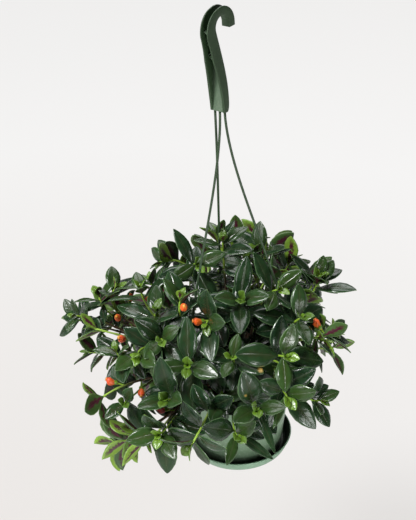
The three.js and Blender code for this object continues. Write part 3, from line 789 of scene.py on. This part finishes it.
def planned_leaves(stems, nodes):
    """Every leaf of the solids: the first way of growing whose tip the solids have."""
    tips = {}
    for stem in stems:
        if not stem.fork:
            verts = nodes["shoot_" + stem.name].data.vertices
            tree = KDTree(len(verts))
            for index, vert in enumerate(verts):
                tree.insert(vert.co, index)
            tree.balance()
            tips[stem.name] = tree
    chance = draws()
    leaves = []
    for rank, (back, lean, size, quarter) in enumerate(PAIRS):
        for stem in stems:
            for side in (0, 1):
                jitter = [next(chance) - 0.5 for _ in range(3)]
                if rank >= stem.pairs:
                    continue
                for dodge in DODGES:
                    axes = leaf_axes(stem, back, lean, quarter, side, jitter, dodge)
                    length = stem.leaf_length * size * dodge[3]
                    tip = axes[0] + axes[1] * length - axes[3] * DROOP * length
                    if tips[stem.shoot].find(at(*tip))[2] < SAME_TIP * MM:
                        folded = FOLDED.get((stem.name, rank, side), 1)
                        leaves.append(leaf_on(stem, back, rank, axes, length, jitter, folded))
                        break
    return leaves


stems = grow_stems()
# Older leaves further down the stems, a pair at each step below those of the solids. Most are
# kept, and one that would touch a solid or a neighbour, or hide the pot or a flower, is left out.
INNER_STEP, INNER_LEAN, INNER_KEPT, KEPT_LEFT = 11, 74, 0.8, 0.45
INNER_SIZE, INNER_SHRINK, BARE_STEM, BARE_FORK = 0.84, 0.04, 0.16, 0.3
INNER_LEVELS, INNER_DODGES, NEIGHBOUR, BLOOM_ROOM = 8, 8, 55, 17
NET_ROWS = (0.2, 0.35, 0.5, 0.65, 0.8, 0.93)
TO_VIEWER = Vector((0, -0.857, 0.515))
blooms = [(Vector(low) + Vector(high)) / 2 for low, high in [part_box(f"bloom_{i + 1}") for i in range(10)]]


def hides_bloom(middle):
    """Whether a leaf here stands between a flower and someone who looks from the front and above."""
    for bloom in blooms:
        apart = middle - bloom
        ahead = apart.dot(TO_VIEWER)
        if ahead > 0 and (apart - TO_VIEWER * ahead).length < BLOOM_ROOM * MM:
            return True
    return False


def leaf_net(leaf):
    """A coarse sheet over the blade past its stalk, to test it against its neighbours."""
    spots = [at(*leaf.place(*leaf.surface(t, s))) for t in NET_ROWS for s in (-1, 0, 1)]
    faces = [(a, a + 1, a + 4, a + 3) for a in range(len(spots) - 4) if a % 3 < 2]
    middle = sum(spots, Vector()) / len(spots)
    return BVHTree.FromPolygons(spots, faces), middle, min(spot.z for spot in spots)


def solids_net(nodes):
    verts, faces = [], []
    for node in nodes.values():
        first = len(verts)
        verts.extend(vert.co.copy() for vert in node.data.vertices)
        faces.extend([first + index for index in polygon.vertices] for polygon in node.data.polygons)
    return BVHTree.FromPolygons(verts, faces)


def inner_leaves(stems, solids):
    chance = draws()
    found, nets = [], []
    rim, radius = at(0, 0, POT_TOP).z, POT_RIM * MM
    for level in range(INNER_LEVELS):
        for stem in stems:
            back = INNER_STEP * (level + 2 + (stem.pairs > 3))
            bare = BARE_FORK if stem.fork else BARE_STEM
            kept = KEPT_LEFT if stem.name.startswith("left") else INNER_KEPT
            for side in (0, 1):
                jitter = [next(chance) - 0.5 for _ in range(3)]
                if next(chance) > kept or back > stem.length * (1 - bare):
                    continue
                for dodge in DODGES[:INNER_DODGES]:
                    axes = leaf_axes(stem, back, INNER_LEAN, level % 2, side, jitter, dodge)
                    length = stem.leaf_length * (INNER_SIZE - INNER_SHRINK * level) * dodge[3]
                    leaf = leaf_on(stem, back, len(PAIRS), axes, length, jitter)
                    net, middle, low = leaf_net(leaf)
                    over_soil = low < rim and middle.xy.length < radius
                    before_pot = middle.z < rim and middle.y < 0 and abs(middle.x) < radius
                    if over_soil or before_pot or hides_bloom(middle):
                        continue
                    near = [other for other, place in nets if (middle - place).length < NEIGHBOUR * MM]
                    if not any(other.overlap(net) for other in [solids] + near):
                        nets.append((net, middle))
                        found.append(leaf)
                        break
    return found


def grow_blade(bm, leaf, layers, youth, tone, segments=(9, 4)):
    """A flat grid that takes the leaf's form and its thickness, with its own finish on each side."""
    upper = bmesh.ops.create_grid(bm, x_segments=segments[0], y_segments=segments[1], size=0.5)["verts"]
    lower = verts_in(bmesh.ops.solidify(bm, geom=list(faces_at(upper)), thickness=0.1)["geom"])
    below = set(lower)
    thickness = LEAF_THICKNESS * min(1, leaf.length / THINNER_UNDER)
    for vert in upper + lower:
        t = 0.5 - 0.5 * cos(pi * (vert.co.x + 0.5))
        s = 2 * vert.co.y
        x, y, z = leaf.surface(t, s)
        if vert in below:
            z -= thickness * (1 - 0.6 * s * s)
        vert[layers["along"]] = t
        vert[layers["across"]] = s
        vert[layers["youth"]] = youth
        vert[layers["tone"]] = tone
        vert.co = at(*leaf.place(x, y, z))
    for face in faces_at(upper + lower):
        face.material_index = 2 if all(vert in below for vert in face.verts) else 1


# Distances back from a stem's tip at which its pairs of leaves stand.
SWELLINGS = (0, 5, 12, 30, 46, 62, 78, 94, 110)
STEM_THIN, STEM_THICK, THICK_FROM = 0.9, 1.7, 110
YOUNG_LENGTH = 58


def grow_stem(bm, stem, layers):
    """A round fleshy stem, swollen where its pairs of leaves stand."""
    count = max(12, int(stem.length / 3.2))
    route, radii, youths = [], [], []
    for i in range(count + 1):
        u = i / count
        back = stem.length * (1 - u)
        swell = sum(exp(-((back - place) / 2.2) ** 2) for place in SWELLINGS)
        route.append(stem.point(stem.share(u)))
        swollen = 0.45 * swell * min(1, (back + 4) / 12)
        radii.append(between(STEM_THIN, STEM_THICK, back / THICK_FROM) + swollen)
        youths.append(max(0, 1 - back / YOUNG_LENGTH))
    radii[-1] = 0.3
    sides = 8
    skin = sweep(bm, tube_rings(route, radii, sides))
    for i, vert in enumerate(skin):
        vert[layers["youth"]] = youths[i // sides]
        vert[layers["along"]] = 1 - youths[i // sides]
        vert[layers["tone"]] = 0.5


def attribute(tree, name):
    return add_node(tree, "Attribute", attribute_name=name).outputs["Fac"]


def make_veins():
    """A leaf's midrib, pale edge and ragged patch at its heart, and how high its surface stands."""
    group, given, out = new_group("leaf_veins", [("Ragged", NUMBER)], [
        ("Midrib", NUMBER), ("Edge", NUMBER), ("Heart", NUMBER), ("Height", NUMBER)])
    along = attribute(group, "along")
    uneven = noise(group, own_place(group), 330, 4)
    off = worked(group, "ABSOLUTE", attribute(group, "across"), 0)
    midrib = ranged(group, off, 0.03, 0.1, 1, 0)
    slant = worked(group, "SUBTRACT", times(group, along, 6), times(group, off, 1.4))
    wave = worked(group, "PINGPONG", slant, 0.5)
    veins = ranged(group, wave, 0, 0.09, 1, 0)
    edge = ranged(group, off, 0.9, 0.98)
    ragged = times(group, worked(group, "SUBTRACT", uneven, 0.5), given["Ragged"])
    near = worked(group, "ADD", off, ragged)
    ends = times(group, ranged(group, along, 0.04, 0.16), ranged(group, along, 0.93, 0.7))
    heart = times(group, ranged(group, near, 0.34, 0.24), ends)
    height = worked(group, "ADD", times(group, midrib, -1), times(group, veins, -0.22))
    height = worked(group, "ADD", height, times(group, uneven, 0.25))
    feed(group, out, {"Midrib": midrib, "Edge": edge, "Heart": heart, "Height": height})
    return group


VEINS = make_veins()
# Two scorched spots on leaves before the pot: place and size, in metres.
BLEMISHES = [((0.025, -0.113, -0.3588), 0.0046), ((0.0066, -0.141, -0.3712), 0.003)]


def distance(tree, place, spot):
    return add_node(tree, "VectorMath", {0: place, 1: spot}, operation="DISTANCE").outputs["Value"]


def make_leaf_top():
    """Upper face: deep green and glossy, with a reddish flush by the midrib and a pale edge."""
    made, tree, shader = new_material("leaf_top")
    veins = place_group(tree, VEINS, {"Ragged": 1.4})
    youth, tone = attribute(tree, "youth"), attribute(tree, "tone")
    place = own_place(tree)
    mottle = noise(tree, place, 140, 4)
    old = mixed(tree, tone, (0.003, 0.012, 0.005, 1), (0.014, 0.041, 0.015, 1))
    old = mixed(tree, ranged(tree, mottle, 0.35, 0.7, 0, 0.45), old, (0.02, 0.055, 0.02, 1))
    flush = times(tree, veins["Heart"], ranged(tree, tone, 0.3, 0.9, 0.1, 0.4))
    old = mixed(tree, flush, old, (0.04, 0.02, 0.012, 1))
    green = mixed(tree, youth, old, (0.17, 0.32, 0.02, 1))
    green = mixed(tree, times(tree, veins["Midrib"], 0.3), green, (0.05, 0.07, 0.03, 1))
    green = mixed(tree, times(tree, veins["Edge"], 0.45), green, (0.15, 0.26, 0.11, 1))
    for spot, size in BLEMISHES:
        away = worked(tree, "ADD", distance(tree, place, spot), times(tree, mottle, 0.004))
        scorch = ranged(tree, away, size + 0.002, size * 0.4 + 0.002, 0, 0.9)
        green = mixed(tree, scorch, green, (0.36, 0.24, 0.06, 1))
    gloss = ranged(tree, mottle, 0.3, 0.7, 0.17, 0.27)
    dress(tree, shader, green, gloss, veins["Height"], 0.5, 0.0006)
    return made


def make_leaf_under():
    """Underside: bright green with a ragged maroon patch along the midrib."""
    made, tree, shader = new_material("leaf_under")
    veins = place_group(tree, VEINS, {"Ragged": 1.1})
    youth, tone = attribute(tree, "youth"), attribute(tree, "tone")
    green = mixed(tree, ranged(tree, tone, 0.3, 0.8), (0.04, 0.09, 0.02, 1), (0.2, 0.35, 0.03, 1))
    green = mixed(tree, youth, green, (0.26, 0.42, 0.03, 1))
    patch = times(tree, veins["Heart"], ranged(tree, youth, 1.1, 0.6))
    green = mixed(tree, patch, green, (0.06, 0.008, 0.02, 1))
    green = mixed(tree, times(tree, veins["Edge"], 0.5), green, (0.24, 0.36, 0.12, 1))
    dress(tree, shader, green, 0.42, veins["Height"], 0.4, -0.0005)
    return made


def make_stem_skin():
    """Fleshy stem: yellow-green at the growing end, reddish brown and corky further down."""
    made, tree, shader = new_material("stem_skin")
    youth = attribute(tree, "youth")
    bark = noise(tree, own_place(tree), 380, 4)
    old = mixed(tree, bark, (0.05, 0.022, 0.012, 1), (0.16, 0.1, 0.05, 1))
    fresh = mixed(tree, ranged(tree, youth, 0.25, 0.8), (0.12, 0.17, 0.03, 1), (0.24, 0.4, 0.03, 1))
    skin = mixed(tree, ranged(tree, youth, 0.1, 0.35), old, fresh)
    dress(tree, shader, skin, 0.5, bark, 0.4, 0.0004)
    return made


def blade_layers(bm):
    return {name: bm.verts.layers.float.new(name) for name in ("along", "across", "youth", "tone")}


leaves = planned_leaves(stems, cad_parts) + inner_leaves(stems, solids_net(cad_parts))
plant_skins = [make_stem_skin(), make_leaf_top(), make_leaf_under()]
chance = draws()
# How young each pair looks, from the tip back; lean and length share of the bud leaves. Shoots
# on the sunny left and the low ones differ more in tone; the other shoots keep a narrower and on average
# darker tone, painted shade away from the sunny side.
YOUTHS = [0.62, 0.09, 0.02, 0, 0]
BUD_LEAN, BUD_SHARE = 12, 0.17
for shoot in [stem for stem in stems if not stem.fork]:
    bm = bmesh.new()
    layers = blade_layers(bm)
    # Leaves of shoots away from the sunny left get a darker tone: painted shade.
    sunny = 1 if shoot.name.startswith(("left", "low")) else 0.6
    for stem in [stem for stem in stems if stem.shoot == shoot.name]:
        grow_stem(bm, stem, layers)
        freshness = 0.5 + 0.6 * next(chance)
        for side in (0, 1):
            axes = leaf_axes(stem, 0, BUD_LEAN, 0, side, (0, 0, 0), (0, 0, 0))
            bud = leaf_on(stem, 0, 0, axes, BUD_SHARE * stem.leaf_length, (0.5, 0.5, 0.5))
            grow_blade(bm, bud, layers, 0.7, 0.8, segments=(6, 4))
        for leaf in [leaf for leaf in leaves if leaf.stem is stem]:
            youth = min(1, YOUTHS[leaf.rank] * freshness)
            grow_blade(bm, leaf, layers, youth, 0.2 * (1 - sunny) + next(chance) * sunny)
    face_outwards(bm)
    set_down(bm, "leafy_" + shoot.name, plant_skins, ["shoot_" + shoot.name])

# Flowers: small waxy orange pouches on short stalks, each out of a green cup of five narrow
# sepals. The pouch is bellied on its lower side and pinched to a small lobed mouth.
FLOWER_LENGTH = 15
FLOWER_HALF = 4
STALK = 8
BELLY = 1.8
POUCH_SIDES = 20
SEPALS = 5
SEPAL_LENGTH = 6.5
# Carrying shoot, distance back from its tip, azimuth, elevation, redness.
FLOWERS = [
    ("top_9", 18, -165, 15, 0.1), ("right_2_fork", 7, 135, 45, 0.3), ("left_6", 39, 180, 30, 0.55),
    ("left_5", 48, -135, 30, 0.5), ("low_1", 57, 180, 15, 1), ("left_6", 60, -90, -15, 0.4),
    ("left_2", 39, -105, 30, 0.15), ("back_8", 30, 60, 60, 0.45), ("back_4", 21, -150, 15, 0.4),
    ("top_8", 7, -75, 30, 0.2),
]
# The pouch's outline: share of its length, share of its half width.
POUCH = [(0, 0.2), (0.04, 0.36), (0.12, 0.42), (0.2, 0.45), (0.28, 0.58), (0.37, 0.76), (0.46, 0.9),
         (0.56, 0.98), (0.66, 1), (0.74, 0.93), (0.81, 0.76), (0.87, 0.57), (0.92, 0.46), (0.96, 0.42),
         (1, 0.5)]


def make_petal():
    """Waxy petal: orange, redder on the belly and yellow at the mouth, under a short velvety down."""
    made, tree, shader = new_material("petal_orange")
    along, tone = attribute(tree, "along"), attribute(tree, "tone")
    place = own_place(tree)
    uneven = noise(tree, place, 500, 3)
    down = noise(tree, place, 2600, 2)
    bright = mixed(tree, along, (0.9, 0.26, 0.006, 1), (0.9, 0.1, 0.004, 1))
    skin = mixed(tree, tone, bright, (0.27, 0.012, 0.02, 1))
    skin = mixed(tree, ranged(tree, uneven, 0.3, 0.7, 0, 0.25), skin, (0.85, 0.07, 0.01, 1))
    skin = mixed(tree, ranged(tree, along, 0.93, 1, 0, 0.7), skin, (0.8, 0.42, 0.05, 1))
    dress(tree, shader, skin, 0.45, down, 0.35, 0.0002)
    shader.inputs["Sheen Weight"].default_value = 0.08
    return made


petal = make_petal()
for index, (carrier, back, azimuth, elevation, redness) in enumerate(FLOWERS):
    stem = next(stem for stem in stems if stem.name == carrier)
    origin = stem.place(back)[0]
    root = stem.point(stem.share((stem.length - back) / stem.length)) - origin
    along = direction(azimuth, elevation)
    down = (Vector((0, 0, -1)) + along * along.z).normalized()
    across = along.cross(down)
    bm = bmesh.new()
    layers = blade_layers(bm)
    stalk = [origin + along * step + root * (1 - step / STALK) ** 2 for step in (0.5, 2, 3.5, 5, 6.5, 8, 9)]
    for vert in sweep(bm, tube_rings(stalk, [1, 0.85, 0.8, 0.85, 0.95, 1.2, 1.4], 8)):
        vert[layers["youth"]] = 0.8
    rings = []
    for share, wide in POUCH:
        sag = BELLY * sin(pi * share) ** 2
        ring = []
        for k in range(POUCH_SIDES):
            angle = tau * k / POUCH_SIDES
            radius = FLOWER_HALF * wide * (1 + 0.2 * max(0, share - 0.94) / 0.06 * cos(5 * angle))
            spot = origin + along * (STALK + share * FLOWER_LENGTH)
            spot += across * radius * cos(angle) + down * (radius * 1.15 * sin(angle) + sag)
            ring.append(at(*spot))
        rings.append(ring)
    pouch = sweep(bm, rings)
    for i, vert in enumerate(pouch):
        vert[layers["along"]] = POUCH[i // POUCH_SIDES][0]
        vert[layers["tone"]] = redness
    for face in faces_at(pouch):
        face.material_index = 3
    for k in range(SEPALS):
        angle = tau * (k + 0.25) / SEPALS
        radial = across * cos(angle) + down * sin(angle)
        lie = (along * 0.93 + radial * 0.37).normalized()
        face_out = (radial - lie * radial.dot(lie)).normalized()
        axes = (origin + along * (STALK - 0.6) + radial * 0.8, lie, face_out.cross(lie), face_out)
        grow_blade(bm, Leaf(axes, SEPAL_LENGTH, (0.6, 0.2, 0.3)), layers, 0.75, 0.5, segments=(6, 4))
    face_outwards(bm)
    set_down(bm, f"pouch_{index + 1}", plant_skins + [petal], [f"bloom_{index + 1}"])

# Setting: the pot hangs over a plain pale floor in soft daylight, seen from the front and
# well above, as in the photograph.
FLOOR_DROP = -0.95
bm = bmesh.new()
bmesh.ops.create_grid(bm, x_segments=1, y_segments=1, size=14)
bmesh.ops.translate(bm, verts=bm.verts, vec=(0, 0, FLOOR_DROP))
# What the camera sees of the floor is an even pale glow, a little darker at its left.
floor_paint, tree, shader = new_material("floor_paint")
seen = add_node(tree, "LightPath").outputs["Is Camera Ray"]
paint = mixed(tree, seen, (0.42, 0.42, 0.41, 1), (0.1, 0.1, 0.1, 1))
away = distance(tree, own_place(tree), (-0.45, 0.2, FLOOR_DROP))
glow = mixed(tree, ranged(tree, away, 0, 1.6), (0.86, 0.82, 0.79, 1), (1, 0.99, 0.98, 1))
feed(tree, shader, {"Base Color": paint, "Roughness": 0.9, "Emission Color": glow,
                    "Emission Strength": ranged(tree, seen, 0, 1, 0, 0.735)})
pale_floor = place_mesh(bm, "pale_floor", [floor_paint])


def soft_light(name, kind, place, strength, size, aim=(0, 0, -0.4)):
    lamp = bpy.data.lights.new(name, kind)
    lamp.energy = strength
    if kind == "AREA":
        lamp.size = size
    else:
        lamp.angle = size
    held = place_object(name, lamp)
    held.location = place
    held.rotation_mode = "QUATERNION"
    held.rotation_quaternion = (Vector(aim) - Vector(place)).to_track_quat("-Z", "Y")
    held.visible_camera = False


soft_light("window_light", "SUN", (-1.4, -0.9, 2.4), 3.7, radians(20))
soft_light("left_softbox", "AREA", (-1.5, -0.5, 0.3), 16, 1)
soft_light("low_softbox", "AREA", (0.3, -0.95, -0.62), 5, 0.3, (0, 0, -0.5))
soft_light("right_softbox", "AREA", (0.9, -1.3, -0.1), 5, 0.45, (0.03, 0, -0.5))
soft_light("back_softbox", "AREA", (0.2, 1.5, 1.3), 30, 1.6)
world = bpy.data.worlds.new("pale_surroundings")
world.use_nodes = True
tree = world.node_tree
seen = add_node(tree, "LightPath").outputs["Is Camera Ray"]
feed(tree, tree.nodes["Background"], {
    "Color": (1, 0.995, 0.985, 1), "Strength": ranged(tree, seen, 0, 1, 0.05, 0.9)})
bpy.context.scene.world = world
bpy.context.scene.view_settings.view_transform = "Standard"

# The camera looks down at the pot, a little rolled, as the photograph does.
CAMERA_PLACE = (-0.0181, -1.0142, 0.3259)
PITCH, YAW, ROLL = radians(31.04), radians(-0.42), radians(-3.59)
forward = Vector((sin(YAW) * cos(PITCH), cos(YAW) * cos(PITCH), -sin(PITCH)))
level_right = Vector((cos(YAW), -sin(YAW), 0))
level_up = level_right.cross(forward)
right = level_right * cos(ROLL) + level_up * sin(ROLL)
upward = level_up * cos(ROLL) - level_right * sin(ROLL)
lens = bpy.data.cameras.new("camera")
lens.sensor_width = 36
lens.lens = 72
lens.clip_start = 0.05
lens.clip_end = 60
camera = place_object("camera", lens)
rows = [(right[i], upward[i], -forward[i], CAMERA_PLACE[i]) for i in range(3)]
camera.matrix_world = Matrix(rows + [(0, 0, 0, 1)])
bpy.context.scene.camera = camera
